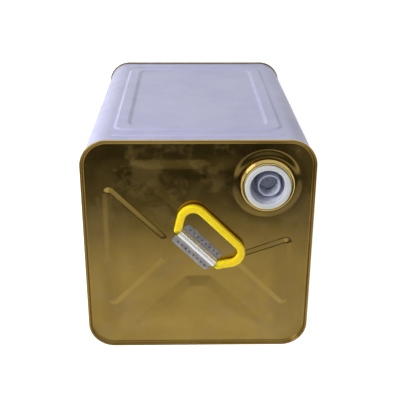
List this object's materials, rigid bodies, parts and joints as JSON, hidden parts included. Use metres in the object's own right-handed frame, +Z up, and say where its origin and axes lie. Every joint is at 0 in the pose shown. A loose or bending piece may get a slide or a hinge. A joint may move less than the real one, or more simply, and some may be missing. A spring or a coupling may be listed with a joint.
{
  "type": "square oil tin with pull-up spout and carry handle",
  "caption": "Tall square oil tin with embossed lid and sides, a crimped corner neck holding a pull-up pouring spout, and a swinging moulded carry handle.",
  "frame": {"origin": "centre of the tin's footprint, on the plane the bottom seam stands on", "axes": "+Z up along the tin's height, +X and +Y square to its sides, the spout in the +X +Y corner of the lid"},
  "size_m": [0.238, 0.238, 0.3573],
  "materials": {
    "side_lacquer": "pale lavender white lacquer on tinplate, satin gloss",
    "gold_lacquer": "transparent gold lacquer on tinplate, glossy",
    "collar_gold": "bright gold lacquered tinplate, glossy",
    "bare_tinplate": "bare bright tinplate",
    "weld_marks": "dull dark resistance weld marks",
    "spout_plastic": "natural white polyethylene, slightly translucent",
    "handle_plastic": "yellow moulded polypropylene, soft gloss",
    "sealing_rubber": "matt grey sealing compound"
  },
  "bodies": {
    "tin": {"body_shell": "side_lacquer", "side_weld": "bare_tinplate", "top_end": "gold_lacquer", "bottom_end": "gold_lacquer", "top_compound": "sealing_rubber", "bottom_compound": "sealing_rubber", "neck_gasket": "sealing_rubber", "crimp_collar": "collar_gold", "spout_ring": "spout_plastic", "spout_outer_wall": "spout_plastic", "handle_strap": "bare_tinplate", "spot_welds": "weld_marks"},
    "nozzle": {"pour_nozzle": "spout_plastic", "spout_inner_wall": "spout_plastic"},
    "carry_handle": {"handle": "handle_plastic"}
  },
  "joints": [
    {"name": "handle_swing", "type": "hinge", "parent": "tin", "child": "carry_handle", "pos_m": [-0.00148, 0.00078, 0.3489], "axis": [0.7071, -0.7071, 0], "range_deg": [-1.5, 173.5]},
    {"name": "spout_pull", "type": "slide", "parent": "tin", "child": "nozzle", "axis": [0, 0, 1], "range_m": [0, 0.034], "deforming": ["spout_outer_wall", "spout_inner_wall"]}
  ]
}
